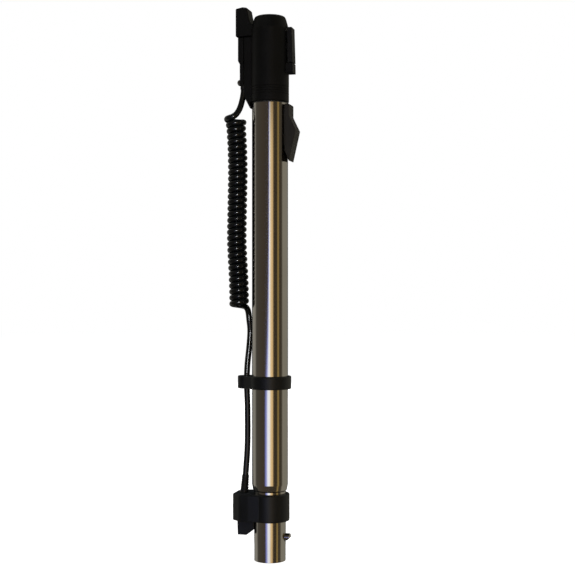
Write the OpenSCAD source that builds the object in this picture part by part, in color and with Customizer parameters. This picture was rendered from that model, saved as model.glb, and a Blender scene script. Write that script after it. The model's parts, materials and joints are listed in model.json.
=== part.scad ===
// Telescopic electric vacuum wand, collapsed.
// The origin is the centre of the nozzle end's rim, +Z runs up the wand towards the handle,
// +X is the side of the lock lever and the buttons, and -X is the side of the cord.

/* [Tubes] */
// Outer diameter of the nozzle end, the common inch and a quarter size
nozzle_d = 31.8; // [31.6:0.1:32]
// Height at which the nozzle end starts to swell into the main tube
shoulder_z = 69.4; // [69:0.1:70]
// Outer diameter of the main tube
main_d = 36; // [35.8:0.1:36.2]
// Height of the main tube's top end
main_top = 456; // [455.5:0.1:456]
// Outer diameter of the telescoping inner tube
inner_d = 32; // [31.9:0.1:32]
// Wall of both tubes
tube_wall = 0.8; // [0.7:0.1:0.9]
// Distance between the ratchet holes
ratchet_pitch = 25; // [20:5:30]
// Travel of the telescope
travel = 300; // [200:25:300]

/* [Coupling barrel] */
// Outer diameter of the barrel
barrel_d = 38; // [37.8:0.1:38.2]
// Inner diameter of the mouth that takes the handle's tube
mouth_d = 26; // [25.8:0.1:26]
// Height of the barrel's lower end
barrel_z = 457; // [457:0.1:457.5]
// Height of the barrel's mouth
mouth_z = 543; // [542:0.5:545]

/* [Cord] */
// Diameter of the cord
cord_d = 5.8; // [5.5:0.1:5.8]
// Outer diameter of the coiled stretch
coil_d = 20.4; // [19.4:0.2:20.6]

/* [Lock lever] */
// Height of the lever's pivot
lever_z = 424; // [423:1:425]
// Width of the lever across the wand
lever_w = 20; // [19.5:0.1:20.5]

/* [Hidden] */
$fn = 64;

// Tubes
nozzle_r = nozzle_d / 2;
main_r = main_d / 2;
main_bore = main_r - tube_wall;
inner_r = inner_d / 2;
inner_low = 80;
inner_top = 497;
rivet_z = 476;
inner_cuts = [211.5, 361.5];
button_z = 24;
stud_hinge_z = 54.6;

// Lock lever and its pawl
pivot_x = 22;
pin_length = lever_w - 1.8;
pawl_z = 449;
ratchet_count = travel / ratchet_pitch + 1;

// Latch at the handle end
latch_x = 21;
latch_z = 512;
latch_pin_length = 11.6;
barrel_r = barrel_d / 2;
mouth_r = mouth_d / 2;
throat_r = mouth_r + 0.4;
throat_top = 529;

// Plug pins and socket contacts lie at the same place, one wand length apart
pin_x = -26.5;
pin_y = 4;

// Where the cord leaves the upper cover, and the two ends of the lower strain relief
exit_x = -26.4;
exit_y = -3.4;
relief_low = [-27.2, 0, 60];
relief_high = [-25.4, 0, 84];

// Route of the cord, from the handle end to the nozzle end
cord_r = cord_d / 2;
upper_route = [
    [-26.4, -3.4, 490], [-26.4, -3.4, 479], [-26.4, -3.4, 469], [-27.6, -3.8, 461],
    [-29.6, -4.8, 453], [-32.4, -6.2, 446.4], [-33.4, -6.6, 442.5]
];
coil_route = [
    [-36, 0, 442.5], [-35, 0, 430], [-34, 0, 412], [-33.5, 0, 390], [-33.8, 0, 370],
    [-34.2, 0, 350], [-34.6, 0, 322], [-34, 0, 305], [-33, 0, 288], [-32.3, 0, 270], [-32, 0, 251]
];
lower_route = [
    [-25, 1, 251], [-23, 3, 242], [-21.6, 4, 230], [-22.4, 3, 213], [-23.6, 1, 197],
    [-24, 0, 185], [-24, 0, 171], [-23.4, 0, 156], [-23.2, 0, 140], [-23.2, 0, 124],
    [-23.6, 0, 109], [-24.35, 0, 98], [-25.4, 0, 84], [-26.3, 0, 72], [-27.2, 0, 60], [-27.6, 0, 53]
];

// A straight round wall between two heights
module ring(r_out, r_in, z0, z1) {
    difference() {
        translate([0, 0, z0]) cylinder(r=r_out, h=z1 - z0);
        translate([0, 0, z0 - 1]) cylinder(r=r_in, h=z1 - z0 + 2);
    }
}

// A block between two corners
module block(low, high) {
    translate(low) cube(high - low);
}

// An outline in X and Z, given a width across the wand
module across(outline, width) {
    translate([0, width / 2, 0]) rotate([90, 0, 0]) linear_extrude(width) polygon(outline);
}

// A round bar between two points
module bar(a, b, r_a, r_b) {
    run = b - a;
    turn = atan2(run[1], run[0]);
    tilt = acos(run[2] / norm(run));
    translate(a) rotate([0, tilt, turn]) cylinder(r1=r_a, r2=r_b, h=norm(run));
}

// A round pin across the wand
module cross_pin(x, z, r, length) {
    translate([x, length / 2, z]) rotate([90, 0, 0]) cylinder(r=r, h=length);
}

function unit(v) = v / norm(v);

// Both ends of every stretch run straight down
function heading(route, i) = i == 0 || i == len(route) - 1
    ? [0, 0, -1]
    : unit(route[i + 1] - route[i - 1]);

function ring_points(centre, along, r, sides) = let(
    u = unit(cross([0, 1, 0], along)),
    v = cross(along, u)
) [for (k = [0:sides - 1]) centre + r * cos(360 * k / sides) * u + r * sin(360 * k / sides) * v];

// A closed tube swept along a route
module swept(route, r, sides) {
    last = len(route) - 1;
    points = [for (i = [0:last]) each ring_points(route[i], heading(route, i), r, sides)];
    walls = [for (i = [0:last - 1], k = [0:sides - 1]) let(
        m = (k + 1) % sides
    ) [i * sides + k, i * sides + m, (i + 1) * sides + m, (i + 1) * sides + k]];
    start_cap = [for (k = [sides - 1:-1:0]) k];
    end_cap = [for (k = [0:sides - 1]) last * sides + k];
    polyhedron(points=points, faces=concat(walls, [start_cap], [end_cap]));
}

// ---- Outer tube and its lock ----

// One swaged tube: a lead-in, the nozzle end, the rolled shoulder and the main tube
module outer_tube() {
    lead_in = 0.2;
    lead_length = 16;
    neck_top = shoulder_z + 7;
    nozzle_bore = nozzle_r - tube_wall;
    color("silver") difference() {
        rotate_extrude() polygon([
            [nozzle_bore, 0], [nozzle_r - lead_in, 0], [nozzle_r - lead_in, lead_length],
            [nozzle_r, lead_length], [nozzle_r, shoulder_z],
            [nozzle_r + 1, shoulder_z + 1.4], [main_r - 0.5, neck_top - 2.6], [main_r, neck_top],
            [main_r, main_top], [main_bore, main_top], [main_bore, neck_top + 0.3],
            [nozzle_bore, shoulder_z + 0.6]
        ]);
        // Hole of the lock button
        translate([nozzle_bore - 3, 0, button_z - 0.3]) rotate([0, 90, 0]) cylinder(r=4.4, h=6);
        // Window of the pawl
        block([main_bore - 3, -3.4, 445.3], [main_r + 1, 3.4, 453.3]);
        // Holes of the lock base's rivets and of the anchor rivet
        for (z = [410, 433])
            translate([main_bore - 1, 0, z]) rotate([0, 90, 0]) cylinder(r=1.6, h=3);
        translate([nozzle_bore - 1, 0, 60]) rotate([0, 90, 0]) cylinder(r=1.3, h=3);
    }
}

// Plastic bush that guides the inner tube in the outer tube's top end
module guide_bush() {
    color("dimgray") difference() {
        union() {
            ring(main_bore - 0.05, inner_r + 0.1, 437, main_top + 0.1);
            ring(main_r, inner_r + 0.1, main_top, main_top + 0.8);
        }
        block([inner_r - 3, -3.4, 445.3], [main_r + 1, 3.4, 453.3]);
    }
}

// Saddle on the outer tube with the two lugs that carry the lever
module lock_base() {
    saddle_r = main_r + 1.3;
    color("black") difference() {
        union() {
            intersection() {
                ring(saddle_r, main_r + 0.05, 406, 450.8);
                block([0, -7.6, 406], [saddle_r, 7.6, 450.8]);
            }
            for (side = [-1, 1])
                intersection() {
                    union() {
                        block([main_r, side * 5.4 - 1, lever_z - 5], [pivot_x, side * 5.4 + 1, lever_z + 5]);
                        translate([0, side * 5.4, 0]) cross_pin(pivot_x, lever_z, 2.6, 2);
                    }
                    difference() {
                        block([15, -8, 406], [30, 8, 452]);
                        translate([0, 0, 400]) cylinder(r=main_r + 0.3, h=60);
                    }
                }
        }
        cross_pin(pivot_x, lever_z, 1.3, 20);
        block([main_r - 2, -3.4, 445.3], [saddle_r + 1, 3.4, 453.3]);
        for (z = [410, 433])
            translate([main_r - 1, 0, z]) rotate([0, 90, 0]) cylinder(r=1.6, h=4);
    }
}

// Two flat-headed rivets that hold the saddle
module lock_rivets() {
    color("gray") for (z = [410, 433]) translate([0, 0, z]) rotate([0, 90, 0]) {
        translate([0, 0, main_bore - 0.75]) cylinder(r=2.4, h=0.5);
        translate([0, 0, main_bore - 0.3]) cylinder(r=1.55, h=2.6);
        translate([0, 0, main_r + 1.4]) cylinder(r=2.6, h=0.7);
    }
}

module lever_pin() {
    color("silver") cross_pin(pivot_x, lever_z, 1.25, pin_length);
}

// Torsion spring round the lever's pin
module lever_spring() {
    color("gray") {
        difference() {
            cross_pin(pivot_x, lever_z, 2.7, 6.4);
            cross_pin(pivot_x, lever_z, 1.7, 7);
        }
        bar([pivot_x - 2.1, 2, lever_z], [main_r + 1.9, 2, lever_z - 11], 0.5, 0.5);
        bar([pivot_x + 2.1, -2, lever_z], [pivot_x, -2, lever_z - 11], 0.5, 0.5);
    }
}

// Hollow rocker: pressing its lower end lifts the pawl at its upper end
module lock_lever() {
    top = 454.5;
    tip = 397.5;
    cavity_w = lever_w - 3.2;
    color("black") difference() {
        across([
            [17.4, top - 0.6], [18, top], [21.3, top], [21.9, top - 0.6], [21.9, 442.5], [28.4, 429.4],
            [28.6, 428.4], [28.4, 427.4], [21.8, tip], [21.3, tip], [17.4, 408]
        ], lever_w);
        across([
            [15, 452.4], [20.3, 452.4], [20.3, 443], [26.2, 429.6], [26.4, 428.4], [20.9, 405], [15, 405]
        ], cavity_w);
        translate([0, 0, 390]) cylinder(r=20.3, h=18);
        translate([0, 0, 407]) cylinder(r=main_r + 0.5, h=50);
        cross_pin(pivot_x, lever_z, 1.3, pin_length + 0.2);
    }
}

// Steel pawl that stands in one ratchet hole of the inner tube
module lock_pawl() {
    color("gray") {
        block([15.3, -2.8, pawl_z - 2.5], [20.3, 2.8, pawl_z + 2.5]);
    }
}

// ---- Nozzle end ----

// Chrome stud that locks the nozzle, on the free end of its leaf spring
module lock_button() {
    stud_r = 3.6;
    color("silver") difference() {
        translate([13.95, 0, button_z]) rotate([0, 90, 0]) cylinder(r=stud_r, h=7.1);
        // The underside slopes, so that the nozzle pushes the stud in
        across([[22, button_z - 4], [22, button_z + 0.6], [17.2, button_z - 4]], 10);
    }
}

module button_spring() {
    color("gray") {
        block([13.4, -4, button_z - 6], [13.9, 4, stud_hinge_z]);
        cross_pin(13.65, stud_hinge_z, 0.25, 8);
    }
}

module spring_anchor() {
    color("gray") block([13.4, -4, 55], [14.4, 4, 64]);
}

module anchor_rivet() {
    color("silver") translate([14.45, 0, 60]) rotate([0, 90, 0]) cylinder(r=1.25, h=1.5);
}

// Place of the two screws of the collar's cover
screw_y = 5.4;
screw_z = 53.5;

// Plan of the collar's pocket, from the ring out to its rear face
function pocket_plan(inset) = [
    [-6, 18.5 - inset], [-18, 18.3 - inset], [-27, 17 - inset], [-36 + inset, 10 - inset * 0.55],
    [-36 + inset, -10 + inset * 0.55], [-27, -17 + inset], [-18, -18.3 + inset], [-6, -18.5 + inset]
];

// Ring round the nozzle end, with the hollow pocket that takes the cord
module connector_collar() {
    low = 40;
    high = 67;
    bore = nozzle_r + 0.1;
    color("black") difference() {
        union() {
            translate([0, 0, low]) cylinder(r=19.6, h=high - low);
            translate([0, 0, low]) linear_extrude(high - low) polygon(pocket_plan(0));
        }
        translate([0, 0, low - 1]) cylinder(r=bore, h=high);
        difference() {
            translate([0, 0, low + 2]) linear_extrude(high - low - 4) polygon(pocket_plan(2));
            translate([0, 0, low]) cylinder(r=bore + 2.4, h=high);
            for (side = [-1, 1])
                block([-34, side * 8 - 4.6, screw_z - 2.5], [-28.5, side * 8 + 4.6, screw_z + 2.5]);
        }
        for (side = [-1, 1])
            translate([-35, side * screw_y, screw_z]) rotate([0, 90, 0]) cylinder(r=1.25, h=5.5);
        // Opening in the floor for the socket block, and in the roof for the strain relief
        block([-30.2, -7.6, low - 1], [-19.4, 7.6, low + 3]);
        bar(relief_low, relief_high, 4.7, 4.7);
        // Opening of the rear cover, with its two screws
        block([-37, -8.2, low + 2.5], [-33, 8.2, high - 2.5]);
    }
}

module collar_cover() {
    color("black") difference() {
        block([-36, -8.1, 42.6], [-34.1, 8.1, 64.4]);
        for (side = [-1, 1])
            translate([-37, side * screw_y, screw_z]) rotate([0, 90, 0]) cylinder(r=1.3, h=4);
    }
}

module collar_screws() {
    color("gray") for (side = [-1, 1]) translate([0, side * screw_y, screw_z]) rotate([0, 90, 0]) {
        translate([0, 0, -36.9]) cylinder(r=2.4, h=0.85);
        translate([0, 0, -36.1]) cylinder(r=1.2, h=6.4);
    }
}

// Socket that hangs below the collar and plugs into the power nozzle
module socket_block() {
    low = 25.5;
    color("black") difference() {
        union() {
            across([
                [-31.7, 39.9], [-31.2, 26.3], [-30.4, low], [-22, low], [-14, 32], [-14, 39.9]
            ], 18);
            block([-30, -7.4, 39.8], [-19.6, 7.4, 47]);
        }
        translate([0, 0, low - 1]) cylinder(r=nozzle_r + 0.4, h=16);
        for (side = [-1, 1])
            translate([pin_x, side * pin_y, low - 1]) cylinder(r=2.3, h=25);
    }
}

module socket_contacts() {
    color("gold") for (side = [-1, 1]) translate([pin_x, side * pin_y, 0]) ring(2.25, 1.75, 28, 46);
}

// Leads from the cord's end to the two contacts
module lower_leads() {
    color("firebrick") for (side = [-1, 1])
        bar([-27.6, side * 1.2, 52.5], [pin_x, side * 3.7, 46.4], 0.8, 0.8);
}

// A tapered sleeve round the cord
module strain_relief(a, b, r_a, r_b) {
    flange = unit(b - a);
    color("black") difference() {
        union() {
            bar(a, b, r_a, r_b);
            bar(a, a + 2 * flange, r_a + 1.2, r_a + 1.2);
        }
        bar(a - flange, b + flange, cord_r + 0.12, cord_r + 0.12);
    }
}

module lower_strain_relief() {
    strain_relief(relief_low, relief_high, 4.5, 3.5);
}

// Ring on the main tube that holds the cord in its ear
module cord_clip() {
    low = 171.3;
    high = 184.2;
    ear = [-24.6, 0, 0];
    color("black") difference() {
        union() {
            translate([0, 0, low]) cylinder(r=21.3, h=high - low);
            translate([0, 0, low]) linear_extrude(high - low) polygon([
                [-8, 19.6], [-27, 8], [-27, -8], [-8, -19.6]
            ]);
            translate(ear + [-0.4, 0, low]) cylinder(r=8.2, h=high - low);
        }
        translate([0, 0, low - 1]) cylinder(r=main_r + 0.05, h=high - low + 2);
        translate([-24, 0, low - 1]) cylinder(r=cord_r + 0.3, h=high - low + 2);
    }
}

// ---- Handle end, which slides with the inner tube ----

// One stretch of the chrome tube with its row of ratchet holes
module inner_stretch(low, high) {
    hole_r = 4;
    color("silver") difference() {
        ring(inner_r, inner_r - tube_wall, low, high);
        for (i = [0:ratchet_count - 1])
            translate([inner_r - 3, 0, pawl_z - i * ratchet_pitch])
                rotate([0, 90, 0]) cylinder(r=hole_r, h=5);
        translate([0, inner_r, 0]) cross_pin(0, rivet_z, 1.6, 4);
    }
}

// The tube is one piece in use; it is kept as three stretches that meet face to face
module inner_tube_lower() {
    inner_stretch(inner_low, inner_cuts[0]);
}

module inner_tube_middle() {
    inner_stretch(inner_cuts[0], inner_cuts[1]);
}

module inner_tube_upper() {
    inner_stretch(inner_cuts[1], inner_top);
}

// Plastic ring on the lower end of the inner tube, which runs in the main tube
module glide_ring() {
    color("white") union() {
        ring(main_bore - 0.1, inner_r + 0.02, inner_low, inner_low + 11);
        ring(main_bore - 0.1, inner_r - tube_wall, inner_low - 1.5, inner_low);
    }
}

// The barrel's outer wall as an outline from the axis, with an allowance all round
function barrel_outline(grow) = [
    [0, barrel_z - grow], [barrel_r - 0.6 + grow, barrel_z - grow], [barrel_r + grow, barrel_z + 0.6],
    [barrel_r + grow, 530], [barrel_r - 0.6 + grow, 532.4], [16.1 + grow, 540.6], [15.1 + grow, 542.4],
    [13.8 + grow, mouth_z + grow], [0, mouth_z + grow]
];

// Outline of the keel at the barrel's rear and of its slanted foot
function keel_outline() = [
    [-10, barrel_z], [-10, 523], [-25.2, 523], [-25.2, 463.6], [-18.5, 450.8], [-18.5, barrel_z]
];

// Moulded barrel that joins the inner tube to the handle, with a keel for the leads
module coupling_barrel() {
    keel_w = 16;
    color("black") difference() {
        union() {
            rotate_extrude() polygon(barrel_outline(0));
            across(keel_outline(), keel_w);
        }
        // Socket of the inner tube, stop, and mouth
        translate([0, 0, 440]) cylinder(r=inner_r + 0.02, h=inner_top - 440 + 0.2);
        translate([0, 0, inner_top - 1]) cylinder(r=throat_r, h=throat_top - inner_top + 1);
        translate([0, 0, throat_top - 1]) cylinder(r=mouth_r, h=30);
        translate([0, 0, mouth_z - 0.6]) cylinder(r1=mouth_r, r2=mouth_r + 0.5, h=0.7);
        translate([0, 0, 503]) cylinder(r=mouth_r + 1, h=3.4);
        // The main tube's end stands clear of the slanted foot
        translate([0, 0, 440]) cylinder(r=main_r + 0.4, h=barrel_z - 440);
        // Lead channel, open to the rear and the top, and a groove for the strain relief.
        // Beside the groove the keel stays solid, for the cover's screw
        block([-26, -6, 476], [-20, 0.3, 524]);
        block([-26, 0.2, 485], [-20, 6, 524]);
        translate([exit_x, exit_y, 455]) cylinder(r=3.75, h=37);
        // Pocket and window of the latch button
        block([17, -6.8, 493.4], [21, 6.8, 531.8]);
        block([10, -3.5, 518.6], [18, 3.5, 528.4]);
        translate([0, barrel_r - 1, 0]) cross_pin(0, rivet_z, 1.6, 8);
        translate([-27, 3.8, 479]) rotate([0, 90, 0]) cylinder(r=1.2, h=6);
    }
}

// Short rivet through the barrel and the inner tube, on the side away from the cord's clip
module barrel_rivet() {
    color("silver") {
        translate([0, 17.3, 0]) cross_pin(0, rivet_z, 1.5, 4.2);
        translate([0, 19.6, 0]) cross_pin(0, rivet_z, 2.6, 0.8);
    }
}

// Lip seal for the handle's tube
module handle_seal() {
    color("dimgray") ring(mouth_r + 0.95, mouth_r - 0.1, 503.1, 506.3);
}

// Rear cover of the lead channel
module rear_cover() {
    wall = 1.6;
    color("black") difference() {
        union() {
            across([[-25.3, 474], [-28.9, 474], [-29.6, 475], [-29.6, 498], [-25.3, 498]], 15);
            across([[-25.3, 496], [-29.6, 496], [-31.3, 499], [-31.3, 521.6], [-30.7, 522.6],
                    [-25.3, 522.6]], 16);
        }
        block([-28, -5.9, 476], [-24, 5.9, 499]);
        block([-31.3 + wall, -6.2, 499], [-24, 6.2, 520.8]);
        // Slot of the strain relief and hole of the screw
        translate([exit_x, exit_y, 470]) cylinder(r=3.7, h=22);
        block([-31, exit_y - 3.7, 470], [exit_x, exit_y + 3.7, 488]);
        translate([-31, 3.8, 479]) rotate([0, 90, 0]) cylinder(r=1.3, h=8);
    }
}

// Screw with a domed knob at the foot of the rear cover
module cover_screw() {
    head_r = 3.3;
    neck = 2.1;
    color("gray") translate([-29.65, 3.8, 479]) rotate([0, -90, 0]) union() {
        translate([0, 0, neck]) intersection() {
            sphere(r=head_r);
            cylinder(r=head_r + 1, h=head_r + 1);
        }
        cylinder(r=2.7, h=neck + 0.1);
        translate([0, 0, -7.4]) cylinder(r=1.15, h=7.5);
    }
}

// Recess at the back of the mouth, into which the handle's plug fits
module plug_shroud() {
    shroud_w = 19.4;
    color("black") difference() {
        across([
            [-33.2, 523.6], [-32.6, 523], [-14, 523], [-14, 534.5], [-18.1, 535], [-21, 550.2],
            [-22.2, 551.9], [-26, 552.4], [-31.6, 551.2], [-33.2, 549.4]
        ], shroud_w);
        rotate_extrude() polygon(barrel_outline(0.05));
        across([[-31.4, 532.2], [-19.4, 532.2], [-19.6, 535], [-23.6, 556], [-31.4, 556]], 16.2);
        block([-30.8, -7.5, 524.8], [-22, 7.5, 533]);
        block([-24.8, -5, 522], [-21.2, 5, 526]);
    }
}

// Insulating block that carries the two pins
module pin_block() {
    color("ivory") difference() {
        block([-30.7, -7.4, 526.6], [-22.1, 7.4, 532.1]);
        for (side = [-1, 1])
            translate([pin_x, side * pin_y, 520]) cylinder(r=1.65, h=20);
    }
}

module plug_pins() {
    color("gold") for (side = [-1, 1]) translate([pin_x, side * pin_y, 0]) {
        translate([0, 0, 525]) cylinder(r=1.6, h=20.4);
        translate([0, 0, 545.4]) cylinder(r1=1.6, r2=0.8, h=1.4);
    }
}

// Leads from the cord's end up to the two pins
module upper_leads() {
    lead_x = -23.2;
    lead_r = 0.7;
    color("firebrick") for (side = [-1, 1]) {
        bar([exit_x, exit_y + side * 1.2, 490.6], [lead_x, side * 3.4, 500], lead_r, lead_r);
        bar([lead_x, side * 3.4, 499.6], [lead_x, side * 3.4, 525.9], lead_r, lead_r);
        bar([lead_x, side * 3.4, 525.7], [pin_x + 1.7, side * 3.8, 525.7], lead_r, lead_r);
    }
}

// Foot below the latch button, and the plate with two lugs that carries it
module latch_housing() {
    housing_w = 13;
    color("black") {
        difference() {
            across([[12, 485.5], [24.4, 485.5], [25, 486.1], [24.8, 495.3], [12, 495.3]], housing_w);
            rotate_extrude() polygon(barrel_outline(0.05));
        }
        block([17.05, -6.4, 493.5], [20, 6.4, 495.3]);
        block([17.05, -4.6, 494], [18, 4.6, 517.6]);
        difference() {
            for (side = [-1, 1]) {
                block([17.9, side * 3.9 - 0.7, latch_z - 3], [latch_x, side * 3.9 + 0.7, latch_z + 3]);
                translate([0, side * 3.9, 0]) cross_pin(latch_x, latch_z, 1.7, 1.4);
            }
            cross_pin(latch_x, latch_z, 1.05, 12);
        }
    }
}

// Hollow rocker: pressing its lower end lifts the tooth at its upper end out of the mouth
module latch_button() {
    button_w = 13;
    color("black") {
        difference() {
            across([
                [20.2, 496], [24.2, 496], [24.8, 496.6], [23.8, 530.4], [23.2, 531], [19.3, 531],
                [19.3, 499], [20.2, 499]
            ], button_w);
            across([[19, 497.6], [23.3, 497.6], [22.5, 527.6], [19, 527.6]], button_w - 3);
            cross_pin(latch_x, latch_z, 1.08, latch_pin_length + 0.2);
        }
        across([
            [11.9, 523.6], [11.9, 525.8], [19.5, 528], [22.8, 528], [22.8, 520.4], [14.6, 520.4]
        ], 6);
    }
}

module latch_pin() {
    color("silver") cross_pin(latch_x, latch_z, 1, latch_pin_length);
}

// Small compression spring under the button, as its outer shape
module latch_spring() {
    color("gray") translate([18.05, 0, 502]) rotate([0, 90, 0]) difference() {
        cylinder(r=2.3, h=5);
        translate([0, 0, -1]) cylinder(r=1.5, h=7);
    }
}

module upper_strain_relief() {
    color("black") difference() {
        union() {
            bar([exit_x, exit_y, 491], [exit_x, exit_y, 471], 3.6, 3.3);
            translate([exit_x, exit_y, 489.2]) cylinder(r=3.62, h=1.8);
        }
        bar([exit_x, exit_y, 492], [exit_x, exit_y, 468], cord_r + 0.12, cord_r + 0.12);
    }
}

// ---- Cord ----

module cord_upper() {
    color("black") swept(upper_route, cord_r, 10);
}

// The coiled stretch as one solid of its outer diameter
module cord_coil() {
    color("black") swept(coil_route, coil_d / 2, 12);
}

module cord_lower() {
    color("black") swept(lower_route, cord_r, 10);
}

outer_tube();
guide_bush();
lock_base();
lock_rivets();
lever_pin();
lever_spring();
lock_lever();
lock_pawl();
cord_clip();
connector_collar();
collar_cover();
collar_screws();
socket_block();
socket_contacts();
lower_leads();
lower_strain_relief();
lock_button();
button_spring();
spring_anchor();
anchor_rivet();
inner_tube_lower();
inner_tube_middle();
inner_tube_upper();
glide_ring();
coupling_barrel();
barrel_rivet();
handle_seal();
rear_cover();
cover_screw();
plug_shroud();
pin_block();
plug_pins();
upper_leads();
latch_housing();
latch_button();
latch_pin();
latch_spring();
upper_strain_relief();
cord_upper();
cord_coil();
cord_lower();
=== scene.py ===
import json
import math

import bmesh
import bpy
from mathutils import Matrix, Vector
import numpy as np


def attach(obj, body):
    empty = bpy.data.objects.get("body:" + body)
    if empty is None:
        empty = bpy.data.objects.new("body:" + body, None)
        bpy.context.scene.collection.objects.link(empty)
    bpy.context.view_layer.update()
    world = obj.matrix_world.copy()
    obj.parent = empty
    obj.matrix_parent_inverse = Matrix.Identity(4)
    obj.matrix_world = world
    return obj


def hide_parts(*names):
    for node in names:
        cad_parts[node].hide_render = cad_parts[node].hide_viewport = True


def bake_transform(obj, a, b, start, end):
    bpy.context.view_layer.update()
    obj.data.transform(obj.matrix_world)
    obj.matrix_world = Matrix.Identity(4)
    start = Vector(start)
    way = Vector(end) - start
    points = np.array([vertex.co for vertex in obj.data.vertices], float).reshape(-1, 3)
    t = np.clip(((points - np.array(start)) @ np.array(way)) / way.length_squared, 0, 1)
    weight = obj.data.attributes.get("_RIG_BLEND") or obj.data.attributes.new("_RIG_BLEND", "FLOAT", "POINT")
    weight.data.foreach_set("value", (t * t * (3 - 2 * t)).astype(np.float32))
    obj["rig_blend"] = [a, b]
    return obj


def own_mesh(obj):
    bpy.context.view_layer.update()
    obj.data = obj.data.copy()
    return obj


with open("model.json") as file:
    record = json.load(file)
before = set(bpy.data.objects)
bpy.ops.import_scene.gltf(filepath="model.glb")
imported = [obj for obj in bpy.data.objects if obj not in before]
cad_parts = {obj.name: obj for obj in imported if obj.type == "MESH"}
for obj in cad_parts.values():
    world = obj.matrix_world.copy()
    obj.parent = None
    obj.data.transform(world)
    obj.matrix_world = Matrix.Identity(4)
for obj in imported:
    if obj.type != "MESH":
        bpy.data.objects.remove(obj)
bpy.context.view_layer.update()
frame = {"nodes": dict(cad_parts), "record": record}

MM = 0.001
scene = bpy.context.scene
record = frame["record"]
slots = {part["node"]: part["material_slot"] for part in record["subparts"]}

# -------- camera

# The photograph's view, in metres: level, a little towards the side of the lock lever
VIEW_TURN = math.radians(14)
VIEW_DISTANCE = 1.2
VIEW_HEIGHT = 0.2725
VIEW_ASIDE = 0.0175
SENSOR_WIDTH, LENS = 36, 75.1  # in millimetres
TOWARDS_CAMERA = Vector((math.sin(VIEW_TURN), -math.cos(VIEW_TURN), 0))
RIGHTWARDS = Vector((math.cos(VIEW_TURN), math.sin(VIEW_TURN), 0))


def add_object(name, data):
    obj = bpy.data.objects.new(name, data)
    scene.collection.objects.link(obj)
    return obj


def make_camera():
    data = bpy.data.cameras.new("camera")
    data.sensor_width = SENSOR_WIDTH
    data.lens = LENS
    camera = add_object("camera", data)
    aim = RIGHTWARDS * VIEW_ASIDE + Vector((0, 0, VIEW_HEIGHT))
    camera.location = aim + TOWARDS_CAMERA * VIEW_DISTANCE
    camera.rotation_euler = (-TOWARDS_CAMERA).to_track_quat("-Z", "Y").to_euler()
    scene.camera = camera


make_camera()

# -------- mesh tools

# Every length below is in millimetres unless it says otherwise
ROUND = 144  # sides of a large round surface


def new_mesh(name, points, faces):
    """A mesh object from points in millimetres."""
    mesh = bpy.data.meshes.new(name)
    mesh.from_pydata([Vector(p) * MM for p in points], [], faces)
    mesh.validate()
    obj = add_object(name, mesh)
    tool = bmesh.new()
    tool.from_mesh(mesh)
    bmesh.ops.recalc_face_normals(tool, faces=tool.faces)
    tool.to_mesh(mesh)
    tool.free()
    return obj


def rounded(outline, radius, steps=4):
    """The outline with each corner turned into an arc. radius is one number or one for each corner."""
    count = len(outline)
    radii = [radius] * count if isinstance(radius, (int, float)) else list(radius)
    result = []
    for i, corner in enumerate(outline):
        here = Vector(corner)
        before = Vector(outline[i - 1]) - here
        after = Vector(outline[(i + 1) % count]) - here
        half = before.angle(after) / 2
        reach = radii[i] / math.tan(half) if half > 1e-3 else 0
        reach = min(reach, before.length * 0.48, after.length * 0.48)
        if reach < 1e-3 or half > math.radians(88):
            result.append(tuple(here))
            continue
        start = here + before.normalized() * reach
        end = here + after.normalized() * reach
        for k in range(steps + 1):
            t = k / steps
            # a quadratic that heads for the corner is close to an arc at these sizes
            point = start * (1 - t) ** 2 + here * 2 * t * (1 - t) + end * t ** 2
            result.append(tuple(point))
    return result


def lathe(name, profile, segments=ROUND):
    """A closed solid: the profile, points of radius and height, turned round the Z axis."""
    points, rows = [], []
    for r, z in profile:
        rows.append(len(points))
        if r < 1e-6:
            points.append((0, 0, z))
            continue
        for k in range(segments):
            turn = 2 * math.pi * k / segments
            points.append((r * math.cos(turn), r * math.sin(turn), z))
    faces = []
    for i, (r, _) in enumerate(profile):
        j = (i + 1) % len(profile)
        first_pole, next_pole = r < 1e-6, profile[j][0] < 1e-6
        if first_pole and next_pole:
            continue
        for k in range(segments):
            m = (k + 1) % segments
            here = [rows[i]] if first_pole else [rows[i] + k, rows[i] + m]
            there = [rows[j]] if next_pole else [rows[j] + m, rows[j] + k]
            faces.append(tuple(here + there))
    return new_mesh(name, points, faces)


def prism(name, outline, low, high, axis="y"):
    """The outline, drawn in the other two axes, pushed from low to high along one axis."""
    at = "xyz".index(axis)
    points = [(*p[:at], along, *p[at:]) for along in (low, high) for p in outline]
    return new_mesh(name, points, tube_faces(1, len(outline)))


def oblong(low, high):
    """The outline in X and Z of a block between two corners."""
    return [(low[0], low[2]), (high[0], low[2]), (high[0], high[2]), (low[0], high[2])]


def brick(name, low, high):
    return prism(name, oblong(low, high), low[1], high[1])


def ring_faces(rings, sides):
    """The faces between one ring of points and the next, along all the rings."""
    faces = []
    for i in range(rings):
        for k in range(sides):
            m = (k + 1) % sides
            faces.append((i * sides + k, i * sides + m, (i + 1) * sides + m, (i + 1) * sides + k))
    return faces


def tube_faces(rings, sides):
    """Both ends of a tube of rings of points, and its sides."""
    ends = [tuple(range(sides)), tuple(range(rings * sides, (rings + 1) * sides))]
    return ends + ring_faces(rings, sides)


def rod(name, a, b, radius_a, radius_b=None, sides=40, rings=1):
    """A round bar between two points, with flat ends."""
    radius_b = radius_a if radius_b is None else radius_b
    a, b = Vector(a), Vector(b)
    along = (b - a).normalized()
    u = along.orthogonal().normalized()
    v = along.cross(u)
    points = []
    for i in range(rings + 1):
        t = i / rings
        r = radius_a + (radius_b - radius_a) * t
        for k in range(sides):
            turn = 2 * math.pi * k / sides
            points.append(a.lerp(b, t) + u * r * math.cos(turn) + v * r * math.sin(turn))
    return new_mesh(name, points, tube_faces(rings, sides))


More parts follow.
